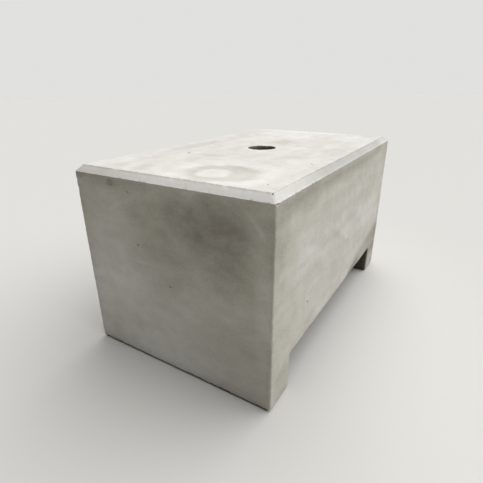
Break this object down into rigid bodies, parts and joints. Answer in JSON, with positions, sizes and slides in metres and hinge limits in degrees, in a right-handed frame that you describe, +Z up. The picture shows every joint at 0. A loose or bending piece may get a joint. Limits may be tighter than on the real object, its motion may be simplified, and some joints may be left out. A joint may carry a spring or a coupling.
{
  "type": "concrete ballast block",
  "caption": "Cast concrete ballast block on two full-width feet, with a through slot for lifting forks, a chamfered top and an upright hole through its middle.",
  "frame": {"origin": "on the ground under the centre of the block", "axes": "+X along the block's length, +Y across it along the fork slot, +Z up through the middle hole"},
  "size_m": [1.14, 0.7, 0.64],
  "materials": {
    "cast_concrete": "matte"
  },
  "bodies": {
    "root": {"concrete_block": "cast_concrete"}
  },
  "joints": []
}
